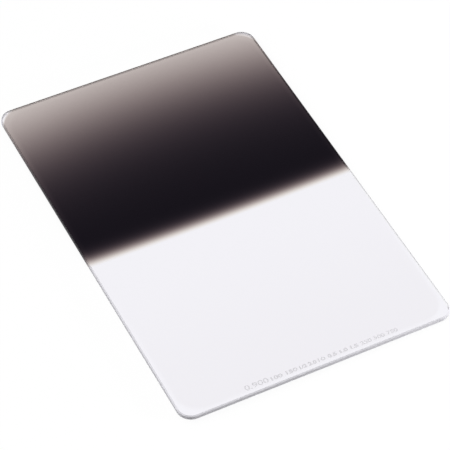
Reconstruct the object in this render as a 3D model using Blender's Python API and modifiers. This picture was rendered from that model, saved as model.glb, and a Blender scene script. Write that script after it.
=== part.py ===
"""Rectangular reverse graduated neutral density filter for a 100 mm slot-in lens filter holder.

One plate of optical glass lies flat on its lower face: +Z up, +Y towards the coated end, with the
origin at the middle of the lower face. The holder's slots grip the two long edges.
"""

import math

import bmesh
import bpy

# Driving dimensions, in metres
PLATE_WIDTH = 0.100  # across the holder's slots
PLATE_LENGTH = 0.150  # the way the plate slides in the holder
PLATE_THICKNESS = 0.002
CORNER_RADIUS = 0.005
EDGE_CHAMFER = 0.0004  # each leg of the 45 degree bevel ground all round both faces

# Facets
CORNER_SEGMENTS = 18
ROUNDED = "bevel_weight_edge"  # the edge attribute that Bevel reads as a weight

# The coating, as (share of the length from the clear end, colour seen through the plate). It is
# clear to the middle, darkest just past it, and fades again towards the coated end.
COATING = (
    (0.462, (0.898, 0.890, 0.933)),
    (0.481, (0.560, 0.495, 0.479)),
    (0.500, (0.070, 0.054, 0.053)),
    (0.540, (0.010, 0.009, 0.011)),
    (0.640, (0.010, 0.009, 0.012)),
    (0.760, (0.036, 0.026, 0.032)),
    (0.880, (0.190, 0.160, 0.160)),
    (1.000, (0.470, 0.410, 0.400)),
)
GLASS_IOR = 1.52
GLASS_ROUGHNESS = 0.02


def clear_the_scene():
    for old in list(bpy.data.objects):
        bpy.data.objects.remove(old)


def collection_for_the_parts():
    parts = bpy.data.collections.new("graduated_filter")
    bpy.context.scene.collection.children.link(parts)
    return parts


def coated_glass():
    """Clear glass whose tint follows the coating along the plate's length."""
    material = bpy.data.materials.new("coated_glass")
    material.use_nodes = True
    nodes, links = material.node_tree.nodes, material.node_tree.links
    glass = nodes["Principled BSDF"]
    glass.inputs["Metallic"].default_value = 0.0
    glass.inputs["Roughness"].default_value = GLASS_ROUGHNESS
    glass.inputs["IOR"].default_value = GLASS_IOR
    glass.inputs["Transmission Weight"].default_value = 1.0

    place = nodes.new("ShaderNodeTexCoord")
    axes = nodes.new("ShaderNodeSeparateXYZ")
    share = nodes.new("ShaderNodeMapRange")
    share.inputs["From Min"].default_value = -PLATE_LENGTH / 2
    share.inputs["From Max"].default_value = PLATE_LENGTH / 2
    tint = nodes.new("ShaderNodeValToRGB")
    stops = tint.color_ramp.elements
    while len(stops) < len(COATING):
        stops.new(0.5)
    for stop, (along, colour) in zip(stops, COATING):
        stop.position = along
        stop.color = (*colour, 1.0)

    links.new(place.outputs["Object"], axes.inputs["Vector"])
    links.new(axes.outputs["Y"], share.inputs["Value"])
    links.new(share.outputs["Result"], tint.inputs["Fac"])
    links.new(tint.outputs["Color"], glass.inputs["Base Color"])
    return material


def plate_blank():
    """The cut blank: a block at full size, its four upright edges marked for the corner radius."""
    mesh = bpy.data.meshes.new("filter_plate")
    block = bmesh.new()
    bmesh.ops.create_cube(block, size=1.0)
    size = (PLATE_WIDTH, PLATE_LENGTH, PLATE_THICKNESS)
    bmesh.ops.scale(block, vec=size, verts=block.verts)
    weight = block.edges.layers.float.new(ROUNDED)
    for edge in block.edges:
        start, end = edge.verts
        stands_upright = abs(start.co.z - end.co.z) > PLATE_THICKNESS / 2
        edge[weight] = 1.0 if stands_upright else 0.0
    block.to_mesh(mesh)
    block.free()
    return mesh


def round_the_corners(plate):
    corners = plate.modifiers.new("corner_radius", "BEVEL")
    corners.limit_method = "WEIGHT"
    corners.offset_type = "OFFSET"
    corners.width = CORNER_RADIUS
    corners.segments = CORNER_SEGMENTS


def grind_the_edges(plate):
    """One flat bevel round each face. The rounded corners' shallow facets are under its angle."""
    chamfer = plate.modifiers.new("edge_chamfer", "BEVEL")
    chamfer.limit_method = "ANGLE"
    chamfer.angle_limit = math.radians(60)
    chamfer.offset_type = "OFFSET"
    chamfer.width = EDGE_CHAMFER
    chamfer.segments = 1


def filter_plate():
    plate = bpy.data.objects.new("filter_plate", plate_blank())
    plate.location.z = PLATE_THICKNESS / 2
    round_the_corners(plate)
    grind_the_edges(plate)
    plate.data.materials.append(coated_glass())
    plate.data.shade_smooth()
    plate.data.set_sharp_from_angle(angle=math.radians(30))
    return plate


def main():
    clear_the_scene()
    collection_for_the_parts().objects.link(filter_plate())


main()
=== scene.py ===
"""Looks of a rectangular reverse graduated neutral density filter, one coated glass plate lying flat.

The plate is made again as a fine surface: two polished faces, and a ground edge whose arrises are
slightly rounded. A line of plain figures is printed along its clear end. Lengths are in metres.
"""

import math

import bpy
import numpy as np
from mathutils import Matrix, Vector

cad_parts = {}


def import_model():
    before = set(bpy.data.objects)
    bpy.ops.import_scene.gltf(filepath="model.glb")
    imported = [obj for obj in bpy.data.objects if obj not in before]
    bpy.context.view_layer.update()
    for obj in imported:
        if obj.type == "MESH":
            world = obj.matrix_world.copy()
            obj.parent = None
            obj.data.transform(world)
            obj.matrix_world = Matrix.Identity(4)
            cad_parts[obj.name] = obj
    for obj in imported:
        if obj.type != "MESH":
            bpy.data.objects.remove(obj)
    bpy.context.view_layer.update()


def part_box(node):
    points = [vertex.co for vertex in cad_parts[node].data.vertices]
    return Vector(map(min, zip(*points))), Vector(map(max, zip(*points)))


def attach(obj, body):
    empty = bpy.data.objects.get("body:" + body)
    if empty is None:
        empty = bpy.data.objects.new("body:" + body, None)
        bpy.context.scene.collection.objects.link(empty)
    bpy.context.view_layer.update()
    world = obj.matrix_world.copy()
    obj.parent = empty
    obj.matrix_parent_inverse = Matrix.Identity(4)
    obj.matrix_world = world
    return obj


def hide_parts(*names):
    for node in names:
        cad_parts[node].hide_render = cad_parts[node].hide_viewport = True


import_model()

# The plate, from the frame
PLATE_LOW, PLATE_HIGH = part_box("filter_plate")
HALF_WIDTH = (PLATE_HIGH.x - PLATE_LOW.x) / 2
HALF_LENGTH = (PLATE_HIGH.y - PLATE_LOW.y) / 2
THICKNESS = PLATE_HIGH.z - PLATE_LOW.z

# Places of the finishes in the plate's list of materials
POLISHED = 0
GROUND = 1

# The ground edge
CORNER_RADIUS = 0.005
CHAMFER = 0.0004
ARRIS_RADIUS = 0.00010
CORNER_STEPS = 20
SIDE_STEPS = 28
ACROSS_STEPS = 24
ARRIS_STEPS = 5

# The graduation, along the plate's length. Density is the filter maker's: transmission is 10^-D
DARKEST_DENSITY = 2.40
FADE_MIDDLE = 0.0473
FADE_REACH = 0.0277
FADE_BOW = 1.267  # metres of shift for each square metre of distance from the middle line
FADE_TILT = -0.0050  # metres of shift for each metre across the plate
STEP_START = -0.00457
STEP_WIDTH = 0.00573
STEP_POWER = 2.07
STEP_BOW = -0.196
STEP_TILT = 0.0024
CLEAR_TINT = (0.9015, 0.8925, 0.9355)
CLEAR_DRIFT = 0.014  # density that the clear half gains towards its own end
CHANNEL_WEIGHTS = (0.866, 1.0, 1.021)
CHANNEL_BENDS = (0.038, 0.0, -0.058)  # change of weight for each unit of density
CHANNEL_FILMS = (-0.011, 0.0, 0.036)  # density that any coating adds, however thin
FILM_START = 0.012
FILM_FULL = 0.06

# The coating's own outline: past the plate's straight edges, but short of its corners
COATING_OVERHANG = 0.0006
COATING_CORNER_RADIUS = 0.0106
COATING_SOFTNESS = 0.00025
COATING_REST = 0.08  # share of the coating that reaches past that outline

# Painted light near the coating's outline, for side light under the plate's edges, over this distance
# in
EDGE_LIGHT_SHARE = 0.08  # share of its density that is taken off there, as painted light
EDGE_LIGHT_START = 0.0032
EDGE_LIGHT_END = 0.0014
HIGHLIGHT_DRIFT_AT_EDGE = -0.6  # what the clear half's drift is multiplied by there; below zero it is a painted highlight along the rim

GLASS_IOR = 1.52
LOW_REFLECTION = (0.05, 0.05, 0.05, 1.0)  # what the anti-reflection coating leaves of the glass's own

# What the polish leaves on the faces: broad soft traces of the lap, too faint to show except in a
# reflection
LAP_NOISE = (180.0, 3.0, 0.5)  # traces to the metre, levels of finer ones, strength of each level
LAP_RANGE = (0.35, 0.75)  # the part of the noise that is used
LAP_ROUGHNESS = 0.02
LAP_BUMP = 0.0000004

# The ground edge's finish: the bevels are finer than the wall between them
EDGE_TINT = (0.648, 0.638, 0.678)
BARE_SHARE = 0.08  # share of the wall kept at the edge's own tint, out of the painted shade
WALL_SHARE = 0.95  # brightness of the wall against the bevels
WALL_TRANSMISSION = 0.5
BEVEL_TRANSMISSION = 0.6
BEVEL_BLEND = 0.00004
# Light that reaches the edge from inside the glass gets out more easily and more cleanly, mostly in
# the clear half, where the edge seen from inside is also painted lighter, for light from the side
INNER_TRANSMISSION = 0.48  # added to the transmission
INNER_PAINTED_LIGHT = 1.75  # multiplies the tint, as painted light
INNER_ROUGHNESS = 0.2  # multiplies the roughness
COATED_SHARE = 0.2  # share of all three that the coated half has
GRAIN_NOISE = (9000.0, 2.0, 0.6)  # pits to the metre, levels of finer ones, strength of each level
GRAIN_RANGE = (0.3, 0.7)  # the part of the noise that is used
GRAIN_LEVEL = (0.95, 1.05)
GRAIN_ROUGHNESS = (0.36, 0.54)
GRAIN_BUMP = 0.000004

# The printed figures: what is printed, where it starts and ends across the plate, how tall it is,
# and how far its strokes are thickened, as a share of the figures' size
FIGURES = (
    ("0.900", -0.0268, -0.0183, 0.0020, 0.005),
    ("100 150", -0.0174, -0.0078, 0.0015, 0.035),
    ("1/2 2.0", -0.0070, -0.0008, 0.0015, 0.043),
    ("10", -0.0002, 0.0024, 0.0015, 0.025),
    ("0.5 1.0 1.5", 0.0034, 0.0146, 0.0015, 0.055),
    ("250 500 750", 0.0156, 0.0294, 0.0015, 0.025),
)
FIGURES_FOOT = -0.0732
INK_FOOT = 0.000001  # above the plate, so that the two surfaces never coincide
INK_TOP = 0.00001
INK_PALE = (0.705, 0.695, 0.725, 1.0)
INK_FULL = (0.555, 0.545, 0.575, 1.0)
INK_ROUGHNESS = (0.45, 0.70)
INK_BUMP = 0.000002
SPECKLE_NOISE = (7000.0, 2.0, 0.5)  # specks to the metre, levels of finer ones, strength of each level
SPECKLE_RANGE = (0.35, 0.65)  # the part of the noise that is used

# Camera, as solved from the plate's outline in the photo
CAMERA_AIM = Vector((-0.000092, -0.005594, 0.0))
CAMERA_AZIMUTH = math.radians(-27.967)
CAMERA_ELEVATION = math.radians(48.826)
CAMERA_ROLL = math.radians(1.442)
CAMERA_DISTANCE = 0.80161
CAMERA_LENS = 187.77
CAMERA_REACH = (0.01, 50.0)  # how near and how far it sees
SENSOR_WIDTH = 36.0

# Stage
FLOOR_SIZE = 8.0
FLOOR_GAP = 0.0001
FLOOR_ROUGHNESS = 0.9
SHADOW_SHARE = 0.1  # share of the floor's white that the plate can shade
WORLD_LIGHT = 0.95
WORLD_LEAN = (-0.8, 0.97)  # how much the light that falls on matt surfaces gains to +X and to +Y
CEILING_START = 0.0  # sine of the elevation at which reflections start to dim
CEILING_END = 0.35
CEILING_LIGHT = 0.25
LAMP_PLACE = (0.23, -0.22, 0.035)  # low, past the clear end's right corner
LAMP_SIZE = 0.06
LAMP_POWER = 0.95


def surface(name, points, faces, normals=None):
    """A mesh object at the origin from whole arrays of points and faces. It is smooth where normals
    are given, and flat-faced where they aren't."""
    mesh = bpy.data.meshes.new(name)
    mesh.from_pydata(points.tolist(), [], faces.tolist())
    if normals is not None:
        mesh.shade_smooth()
        mesh.normals_split_custom_set_from_vertices(normals.tolist())
    piece = bpy.data.objects.new(name, mesh)
    bpy.context.scene.collection.objects.link(piece)
    return piece


def edge_section():
    """The ground edge's section, from the upper face down to the lower one, as distance out from
    the plate's outline, height, and the two parts of the normal.

    It is a circle of the arris radius r rolled inside an edge of thickness T with 45 degree
    chamfers c. With k = r (sqrt 2 - 1) its four centres are (-c - k, T - r), (-r, T - c - k),
    (-r, c + k) and (-c - k, r). On each the normal turns through 45 degrees, and a point is its
    centre + r (cos a, sin a)."""
    lean = ARRIS_RADIUS * (math.sqrt(2) - 1)
    inner, outer = -CHAMFER - lean, -ARRIS_RADIUS
    top, shoulder = THICKNESS - ARRIS_RADIUS, THICKNESS - CHAMFER - lean
    centres = np.array([
        (inner, top), (outer, shoulder), (outer, CHAMFER + lean), (inner, ARRIS_RADIUS),
    ])
    starts = np.radians([90, 45, 0, -45])
    turn = np.linspace(0, math.pi / 4, ARRIS_STEPS + 1)
    angle = (starts[:, None] - turn[None, :]).ravel()
    centre = np.repeat(centres, ARRIS_STEPS + 1, axis=0)
    normal = np.stack([np.cos(angle), np.sin(angle)], axis=1)
    return centre + ARRIS_RADIUS * normal, normal


def face_grid(reach):
    """The plate's outline, moved out by (reach - corner radius), filled with rows across it.

    Row angle t runs from -90 to 0 degrees round the clear end's corners, stays at 0 along the
    sides, and runs from 0 to 90 round the far corners. A row lies at y = its corner or side place +
    reach sin t, its half width is w = core + reach cos t, and a point on it is (w s, y), with s
    from -1 to 1."""
    core_x, core_y = HALF_WIDTH - CORNER_RADIUS, HALF_LENGTH - CORNER_RADIUS
    turn = np.linspace(0, math.pi / 2, CORNER_STEPS + 1)
    sides = np.linspace(-core_y, core_y, SIDE_STEPS + 1)[1:-1]
    angle = np.concatenate([turn - math.pi / 2, np.zeros(len(sides)), turn])
    middle = np.concatenate([np.full(len(turn), -core_y), sides, np.full(len(turn), core_y)])
    across = np.linspace(-1, 1, ACROSS_STEPS + 1)
    x = (core_x + reach * np.cos(angle))[:, None] * across[None, :]
    y = np.repeat((middle + reach * np.sin(angle))[:, None], len(across), axis=1)
    return x, y, angle


def ring_of(grid):
    """The outer ring of a grid of rows, anticlockwise from the first row's start."""
    return np.concatenate([grid[0], grid[1:, -1], grid[-1, -2::-1], grid[-2:0:-1, 0]])


def quads(grid):
    """A grid of point numbers as quads that face the side from which it runs anticlockwise."""
    corners = grid[:-1, :-1], grid[:-1, 1:], grid[1:, 1:], grid[1:, :-1]
    return np.stack(corners, axis=-1).reshape(-1, 4)


def cap_numbers(shape, ring, first_inside):
    """Point numbers of a face's grid, whose outer ring is shared with the rim."""
    numbers = np.zeros(shape, int)
    rows, columns = shape
    count = (rows - 2) * (columns - 2)
    numbers[1:-1, 1:-1] = first_inside + np.arange(count).reshape(rows - 2, columns - 2)
    place = ring_of(np.arange(rows * columns).reshape(shape))
    numbers.ravel()[place] = ring
    return numbers


def plate_surface():
    """The whole plate. A rim point is corner + reach times the outline's normal there, with reach =
    corner radius + the section's distance out, at the section's height. Each face is a grid whose
    outer ring is the rim's first or last loop."""
    section, section_normal = edge_section()
    x, y, angle = face_grid(CORNER_RADIUS)
    loop = len(ring_of(x))
    side = np.sign(np.linspace(-1, 1, x.shape[1]))[None, :] * np.ones_like(x)
    outward_x = ring_of(np.cos(angle)[:, None] * side)
    outward_y = ring_of(np.repeat(np.sin(angle)[:, None], x.shape[1], axis=1))
    rim_xy = [np.stack([ring_of(gx), ring_of(gy)], axis=1)
              for gx, gy, _ in (face_grid(CORNER_RADIUS + out) for out in section[:, 0])]
    rim_z = np.repeat(section[:, 1], loop)[:, None]
    rim = np.concatenate([np.concatenate(rim_xy), rim_z], axis=1)
    outward = np.stack([outward_x, outward_y], axis=1)
    outward = outward / np.linalg.norm(outward, axis=1)[:, None]
    rim_normal = np.concatenate(
        [np.concatenate([outward * n[0], np.full((loop, 1), n[1])], axis=1) for n in section_normal]
    )
    gx, gy, _ = face_grid(CORNER_RADIUS + section[0, 0])
    inside = np.stack([gx[1:-1, 1:-1].ravel(), gy[1:-1, 1:-1].ravel()], axis=1)
    count = len(inside)
    upper = np.concatenate([inside, np.full((count, 1), THICKNESS)], axis=1)
    lower = np.concatenate([inside, np.zeros((count, 1))], axis=1)
    points = np.concatenate([rim, upper, lower])
    face_normals = np.repeat([(0.0, 0.0, 1.0), (0.0, 0.0, -1.0)], count, axis=0)
    normals = np.concatenate([rim_normal, face_normals])

    rings = np.arange(len(section) * loop).reshape(len(section), loop)
    wrapped = np.concatenate([rings, rings[:, :1]], axis=1)
    rim_faces = quads(wrapped[::-1])
    upper_faces = quads(cap_numbers(gx.shape, rings[0], len(rim)))
    lower_faces = quads(cap_numbers(gx.shape, rings[-1], len(rim) + count))[:, ::-1]
    faces = np.concatenate([upper_faces, lower_faces, rim_faces])
    finish = np.repeat([POLISHED, GROUND], [len(upper_faces) + len(lower_faces), len(rim_faces)])
    return points, faces, normals, finish


class Nodes:
    """Short calls for building a material's node tree."""

    def __init__(self, tree):
        self.tree = tree

    def add(self, kind, **settings):
        node = self.tree.nodes.new(kind)
        for name, value in settings.items():
            setattr(node, name, value)
        return node

    def feed(self, socket, value):
        if isinstance(value, bpy.types.NodeSocket):
            self.tree.links.new(value, socket)
        else:
            socket.default_value = value

    def math(self, operation, *values):
        node = self.add("ShaderNodeMath", operation=operation)
        for socket, value in zip(node.inputs, values):
            self.feed(socket, value)
        return node.outputs[0]

    def ramp(self, value, start, end, low, high, smooth=True):
        kind = "SMOOTHSTEP" if smooth else "LINEAR"
        node = self.add("ShaderNodeMapRange", interpolation_type=kind)
        for socket, number in zip(node.inputs, (value, start, end, low, high)):
            self.feed(socket, number)
        return node.outputs[0]

    def noise(self, point, scale, detail, strength):
        node = self.add("ShaderNodeTexNoise")
        settings = ("Vector", point), ("Scale", scale), ("Detail", detail), ("Roughness", strength)
        for name, value in settings:
            self.feed(node.inputs[name], value)
        return node.outputs[0]

    def bump(self, height, distance):
        node = self.add("ShaderNodeBump")
        self.feed(node.inputs["Height"], height)
        self.feed(node.inputs["Distance"], distance)
        return node.outputs[0]

    def mix(self, share, first, second):
        """Two colours mixed. On this node they are inputs 6 and 7, and the result is output 2."""
        node = self.add("ShaderNodeMix", data_type="RGBA")
        self.feed(node.inputs["Factor"], share)
        self.feed(node.inputs[6], first)
        self.feed(node.inputs[7], second)
        return node.outputs[2]

    def place(self):
        """Object coordinates as a point and as its three numbers, in metres."""
        point = self.add("ShaderNodeTexCoord").outputs["Object"]
        axes = self.add("ShaderNodeSeparateXYZ")
        self.feed(axes.inputs[0], point)
        return point, axes.outputs["X"], axes.outputs["Y"], axes.outputs["Z"]


def new_material(name):
    material = bpy.data.materials.new(name)
    material.use_nodes = True
    tree = material.node_tree
    return material, Nodes(tree), tree.nodes["Principled BSDF"]


def distance_in_from_coating_edge(n, x, y):
    """How far a point lies inside the coating's outline, a rounded rectangle: with q = |p| - (half
    size - radius), it is radius - length(max(q, 0)) - min(max(qx, qy), 0)."""
    radius = COATING_CORNER_RADIUS
    qx = n.math("SUBTRACT", n.math("ABSOLUTE", x), HALF_WIDTH + COATING_OVERHANG - radius)
    qy = n.math("SUBTRACT", n.math("ABSOLUTE", y), HALF_LENGTH + COATING_OVERHANG - radius)
    px, py = n.math("MAXIMUM", qx, 0.0), n.math("MAXIMUM", qy, 0.0)
    squares = n.math("ADD", n.math("MULTIPLY", px, px), n.math("MULTIPLY", py, py))
    outside = n.math("SQRT", squares)
    inside = n.math("MINIMUM", n.math("MAXIMUM", qx, qy), 0.0)
    return n.math("SUBTRACT", radius, n.math("ADD", outside, inside))


def coating_density(n, x, y):
    """The coating's density, at its darkest just past mid length. From there it falls to the coated
    end as (1 - tanh u) / 2 and to the clear half as 1 - exp(-v^power), where u and v run along the
    plate, each bowed by x squared and tilted by x. Near the coating's outline it is a little lower,
    as painted light from the side that reaches under the plate's edges, and it leaves the corners
    almost bare. The clear half keeps a faint film that grows towards its own end; near the outline
    that film turns to a negative density, a painted highlight along the rim."""
    square = n.math("MULTIPLY", x, x)
    along = n.math("MULTIPLY_ADD", square, FADE_BOW, n.math("MULTIPLY_ADD", x, FADE_TILT, y))
    share = n.math("DIVIDE", n.math("SUBTRACT", along, FADE_MIDDLE), FADE_REACH)
    fade = n.math("MULTIPLY_ADD", n.math("TANH", share), -0.5, 0.5)
    past = n.math("MULTIPLY_ADD", square, STEP_BOW, n.math("MULTIPLY_ADD", x, STEP_TILT, y))
    past = n.math("SUBTRACT", past, STEP_START)
    risen = n.math("POWER", n.math("MAXIMUM", n.math("DIVIDE", past, STEP_WIDTH), 0.0), STEP_POWER)
    step = n.math("SUBTRACT", 1.0, n.math("EXPONENT", n.math("MULTIPLY", risen, -1.0)))
    inside = distance_in_from_coating_edge(n, x, y)
    covered = n.ramp(inside, -COATING_SOFTNESS, COATING_SOFTNESS, COATING_REST, 1.0)
    # Painted light: the density is cut a little near the coating's outline
    edge_light = n.ramp(inside, EDGE_LIGHT_END, EDGE_LIGHT_START, 1.0 - EDGE_LIGHT_SHARE, 1.0)
    laid = n.math("MULTIPLY", covered, edge_light)
    whole = n.math("MULTIPLY", n.math("MULTIPLY", fade, step), DARKEST_DENSITY)
    drift = n.ramp(y, -HALF_LENGTH, STEP_START, CLEAR_DRIFT, 0.0)
    # Near the outline the clear half's drift turns negative: a painted highlight along the rim
    trace_and_highlight = n.math("MULTIPLY", drift, n.ramp(inside, EDGE_LIGHT_END, EDGE_LIGHT_START, HIGHLIGHT_DRIFT_AT_EDGE, 1.0))
    return n.math("MULTIPLY_ADD", whole, laid, trace_and_highlight)


def seen_through(n, clear_colour, density):
    """A clear colour darkened by a density D: each channel is clear x 10^-(D (weight + bend D) +
    film), where the film comes in as soon as there is any coating."""
    colour = n.add("ShaderNodeCombineColor")
    laws = zip(colour.inputs, clear_colour, CHANNEL_WEIGHTS, CHANNEL_BENDS, CHANNEL_FILMS)
    for socket, clear, weight, bend, film in laws:
        channel = n.math("MULTIPLY", density, n.math("MULTIPLY_ADD", density, bend, weight))
        channel = n.math("ADD", channel, n.ramp(density, FILM_START, FILM_FULL, 0.0, film))
        passed = n.math("POWER", 10.0, n.math("MULTIPLY", channel, -1.0))
        n.feed(socket, n.math("MULTIPLY", passed, clear))
    return colour.outputs[0]


def coated_glass():
    """Polished optical glass with the graduated coating and a low-reflection coating. Its roughness
    and its waviness are the faint traces of the lap."""
    material, n, glass = new_material("coated_glass")
    point, x, y, _ = n.place()
    n.feed(glass.inputs["Base Color"], seen_through(n, CLEAR_TINT, coating_density(n, x, y)))
    traces = n.noise(point, *LAP_NOISE)
    n.feed(glass.inputs["Roughness"], n.ramp(traces, *LAP_RANGE, 0.0, LAP_ROUGHNESS))
    n.feed(glass.inputs["Normal"], n.bump(traces, LAP_BUMP))
    glass.inputs["IOR"].default_value = GLASS_IOR
    glass.inputs["Transmission Weight"].default_value = 1.0
    glass.inputs["Specular Tint"].default_value = LOW_REFLECTION
    return material


def ground_edge():
    """The diamond-ground edge: satin glass with a pitted grain, finer on the bevels than on the wall
    between them. Brightness and roughness follow the grain. The coated half darkens the edge as it
    does the faces: on the bevels that is coating lapped over them, on the wall it is painted shade
    for the light that is dimmed inside the coated glass, but for a bare share of the wall that fades
    out over the bevels. Seen from inside the glass, the edge is clearer and smoother, and in the
    clear half it is painted lighter."""
    material, n, glass = new_material("ground_edge")
    point, x, y, z = n.place()
    grain = n.noise(point, *GRAIN_NOISE)
    from_middle = n.math("ABSOLUTE", n.math("SUBTRACT", z, THICKNESS / 2))
    bevel_start = THICKNESS / 2 - CHAMFER
    on_bevel = n.ramp(from_middle, bevel_start - BEVEL_BLEND, bevel_start + BEVEL_BLEND, 0.0, 1.0)
    clear_half = n.ramp(y, STEP_START, STEP_START + STEP_WIDTH, 1.0, COATED_SHARE)
    from_inside = n.math("MULTIPLY", n.add("ShaderNodeNewGeometry").outputs["Backfacing"], clear_half)

    bare = n.ramp(from_middle, bevel_start, THICKNESS / 2, BARE_SHARE, 0.0)
    # The face's density: coating lapped over the bevels, painted shade on the wall
    coated_and_shaded_colour = seen_through(n, EDGE_TINT, coating_density(n, x, y))
    level = n.math("MULTIPLY", n.ramp(on_bevel, 0.0, 1.0, WALL_SHARE, 1.0, smooth=False),
                   n.ramp(grain, *GRAIN_RANGE, *GRAIN_LEVEL, smooth=False))
    # Painted light: the tint is lighter where the edge is seen from inside the glass
    inner_painted_light = n.ramp(from_inside, 0.0, 1.0, 1.0, INNER_PAINTED_LIGHT, smooth=False)
    colour = n.add("ShaderNodeVectorMath", operation="SCALE")
    n.feed(colour.inputs[0], n.mix(bare, coated_and_shaded_colour, (*EDGE_TINT, 1.0)))
    n.feed(colour.inputs["Scale"], n.math("MULTIPLY", level, inner_painted_light))
    n.feed(glass.inputs["Base Color"], colour.outputs[0])

    roughness = n.ramp(grain, *GRAIN_RANGE, *GRAIN_ROUGHNESS, smooth=False)
    inner_share = n.ramp(from_inside, 0.0, 1.0, 1.0, INNER_ROUGHNESS, smooth=False)
    n.feed(glass.inputs["Roughness"], n.math("MULTIPLY", roughness, inner_share))
    passed = n.ramp(on_bevel, 0.0, 1.0, WALL_TRANSMISSION, BEVEL_TRANSMISSION, smooth=False)
    passed = n.math("MULTIPLY_ADD", from_inside, INNER_TRANSMISSION, passed)
    n.feed(glass.inputs["Transmission Weight"], passed)
    n.feed(glass.inputs["Normal"], n.bump(grain, GRAIN_BUMP))
    glass.inputs["IOR"].default_value = GLASS_IOR
    glass.inputs["Specular Tint"].default_value = LOW_REFLECTION
    glass.inputs["Specular IOR Level"].default_value = 0.0
    return material


def print_ink():
    """Grey ink, screen printed: speckled where it lies thin, and glossier where it lies full."""
    material, n, ink = new_material("print_ink")
    point, _, _, _ = n.place()
    full = n.ramp(n.noise(point, *SPECKLE_NOISE), *SPECKLE_RANGE, 0.0, 1.0)
    n.feed(ink.inputs["Base Color"], n.mix(full, INK_PALE, INK_FULL))
    n.feed(ink.inputs["Roughness"], n.ramp(full, 1.0, 0.0, *INK_ROUGHNESS, smooth=False))
    n.feed(ink.inputs["Normal"], n.bump(full, INK_BUMP))
    return material


def filter_plate():
    """The coated plate, which stands in for the CAD's own in the picture."""
    points, faces, normals, finish = plate_surface()
    plate = surface("glass_plate", points, faces, normals)
    plate.data.materials.append(coated_glass())
    plate.data.materials.append(ground_edge())
    plate.data.polygons.foreach_set("material_index", finish.astype(np.int32))
    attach(plate, "root")
    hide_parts("filter_plate")


def figure_group(text, start, end, height, weight):
    """One group of figures, as flat triangles. With (u, v) the place of a point in the group's own
    box, each from 0 to 1, it lies at x = start + (end - start) u, y = foot + height v."""
    curve = bpy.data.curves.new("figures", "FONT")
    curve.body = text
    curve.offset = weight
    writing = bpy.data.objects.new("writing", curve)
    bpy.context.scene.collection.objects.link(writing)
    shapes = writing.evaluated_get(bpy.context.evaluated_depsgraph_get())
    mesh = bpy.data.meshes.new_from_object(shapes)
    bpy.data.objects.remove(writing)
    points = np.zeros(len(mesh.vertices) * 3)
    mesh.vertices.foreach_get("co", points)
    points = points.reshape(-1, 3)[:, :2]
    mesh.calc_loop_triangles()
    corners = np.zeros(len(mesh.loop_triangles) * 3, np.int32)
    mesh.loop_triangles.foreach_get("vertices", corners)
    bpy.data.meshes.remove(mesh)
    low, high = points.min(axis=0), points.max(axis=0)
    u, v = ((points - low) / (high - low)).T
    place = np.stack([start + (end - start) * u, FIGURES_FOOT + height * v], axis=1)
    return place, corners.reshape(-1, 3).astype(int)


def ink_film(place, triangles):
    """Flat shapes given the ink's thickness, as a closed skin: the triangles at the ink's top, the
    same ones turned over at its foot, and a wall below each side that only one triangle has."""
    count = len(place)
    sides = np.concatenate([triangles[:, [0, 1]], triangles[:, [1, 2]], triangles[:, [2, 0]]])
    there, back = sides @ (count, 1), sides[:, ::-1] @ (count, 1)
    start, end = sides[~np.isin(back, there)].T
    walls = np.stack([start + count, end + count, end, start + count, end, start], axis=1)
    levels = np.repeat([THICKNESS + INK_TOP, THICKNESS + INK_FOOT], count)[:, None]
    points = np.concatenate([np.tile(place, (2, 1)), levels], axis=1)
    return points, np.concatenate([triangles, triangles[:, ::-1] + count, walls.reshape(-1, 3)])


def printed_figures():
    """All the groups in one film of ink on the upper face, along the clear end."""
    groups = [figure_group(*group) for group in FIGURES]
    firsts = np.cumsum([0] + [len(place) for place, _ in groups[:-1]])
    place = np.concatenate([place for place, _ in groups])
    triangles = np.concatenate([first + corners for first, (_, corners) in zip(firsts, groups)])
    figures = surface("printed_figures", *ink_film(place, triangles))
    figures.data.materials.append(print_ink())
    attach(figures, "root")


def floor_material():
    """White paper. What the camera sees of it is white, less the share that the plate can shade, and
    what the glass shows of it is white."""
    material, n, paper = new_material("floor_paper")
    ray = n.add("ShaderNodeLightPath")
    paper.inputs["Base Color"].default_value = (1.0, 1.0, 1.0, 1.0)
    paper.inputs["Roughness"].default_value = FLOOR_ROUGHNESS
    white = n.add("ShaderNodeEmission")
    through = n.math("MAXIMUM", ray.outputs["Is Glossy Ray"], ray.outputs["Is Transmission Ray"])
    seen = n.math("MULTIPLY", ray.outputs["Is Camera Ray"], 1.0 - SHADOW_SHARE)
    mix = n.add("ShaderNodeMixShader")
    n.feed(mix.inputs[0], n.math("MAXIMUM", through, seen))
    n.feed(mix.inputs[1], paper.outputs[0])
    n.feed(mix.inputs[2], white.outputs[0])
    n.feed(material.node_tree.nodes["Material Output"].inputs["Surface"], mix.outputs[0])
    return material


def floor():
    """A flat square, each corner half its size from the origin, just below the plate."""
    signs = np.array([(-1, -1), (1, -1), (1, 1), (-1, 1)])
    points = np.concatenate([signs * FLOOR_SIZE / 2, np.full((4, 1), -FLOOR_GAP)], axis=1)
    paper = surface("floor", points, np.array([[0, 1, 2, 3]]))
    paper.data.materials.append(floor_material())


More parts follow.
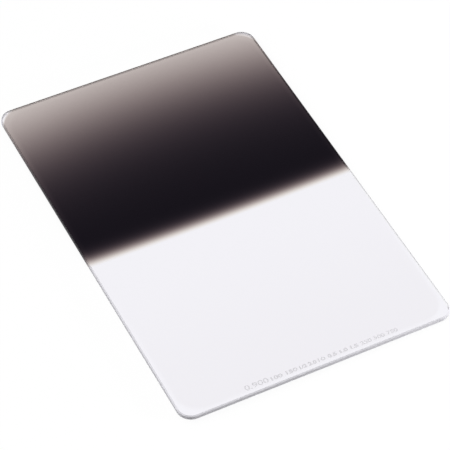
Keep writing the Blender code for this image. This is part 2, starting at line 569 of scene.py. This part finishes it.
def world():
    """A white studio. Seen directly or through the glass it is plain white. In a reflection it is
    white at the horizon and dims to a dark ceiling. What it throws on a matt surface is light +
    lean x times x + lean y times y, for the direction (x, y, z) that it comes from."""
    studio = bpy.data.worlds.new("studio")
    bpy.context.scene.world = studio
    studio.use_nodes = True
    n = Nodes(studio.node_tree)
    ray = n.add("ShaderNodeLightPath")
    axes = n.add("ShaderNodeSeparateXYZ")
    n.feed(axes.inputs[0], n.add("ShaderNodeTexCoord").outputs["Generated"])
    ceiling = n.ramp(axes.outputs["Z"], CEILING_START, CEILING_END, 1.0, CEILING_LIGHT)
    reflected = n.math("MULTIPLY", ray.outputs["Is Glossy Ray"], ceiling)
    seen = n.math("MAXIMUM", ray.outputs["Is Camera Ray"], ray.outputs["Is Transmission Ray"])
    lean_x, lean_y = WORLD_LEAN
    level = n.math("MULTIPLY_ADD", axes.outputs["X"], lean_x, WORLD_LIGHT)
    level = n.math("MAXIMUM", n.math("MULTIPLY_ADD", axes.outputs["Y"], lean_y, level), 0.0)
    light = n.math("MULTIPLY", ray.outputs["Is Diffuse Ray"], level)
    strength = n.math("MAXIMUM", n.math("MAXIMUM", seen, reflected), light)
    n.feed(studio.node_tree.nodes["Background"].inputs["Strength"], strength)
    studio.node_tree.nodes["Background"].inputs["Color"].default_value = (1.0, 1.0, 1.0, 1.0)


def lamp():
    """A small soft lamp, aimed at the plate's middle. Neither the camera nor the glass shows it."""
    light = bpy.data.lights.new("front_lamp", "AREA")
    light.shape = "SQUARE"
    light.size = LAMP_SIZE
    light.energy = LAMP_POWER
    lamp_object = bpy.data.objects.new("front_lamp", light)
    lamp_object.location = LAMP_PLACE
    lamp_object.visible_camera = False
    lamp_object.visible_glossy = False
    lamp_object.visible_transmission = False
    lamp_object.rotation_euler = (-Vector(LAMP_PLACE)).to_track_quat("-Z", "Y").to_euler()
    bpy.context.scene.collection.objects.link(lamp_object)


def camera():
    """The photographer's camera: at its distance from the aim, on its azimuth and elevation, and
    rolled about the line of sight."""
    azimuth, elevation, roll = CAMERA_AZIMUTH, CAMERA_ELEVATION, CAMERA_ROLL
    out = math.cos(elevation)
    back = Vector((math.sin(azimuth) * out, -math.cos(azimuth) * out, math.sin(elevation)))
    level = Vector((math.cos(azimuth), math.sin(azimuth), 0.0))
    upright = back.cross(level)
    right = level * math.cos(roll) + upright * math.sin(roll)
    up = upright * math.cos(roll) - level * math.sin(roll)
    turn = Matrix((right, up, back)).transposed().to_4x4()
    data = bpy.data.cameras.new("camera")
    data.sensor_width = SENSOR_WIDTH
    data.lens = CAMERA_LENS
    data.clip_start, data.clip_end = CAMERA_REACH
    photographer = bpy.data.objects.new("camera", data)
    photographer.matrix_world = Matrix.Translation(CAMERA_AIM + back * CAMERA_DISTANCE) @ turn
    bpy.context.scene.collection.objects.link(photographer)
    bpy.context.scene.camera = photographer


filter_plate()
printed_figures()
floor()
world()
lamp()
camera()
bpy.context.scene.view_settings.view_transform = "Standard"
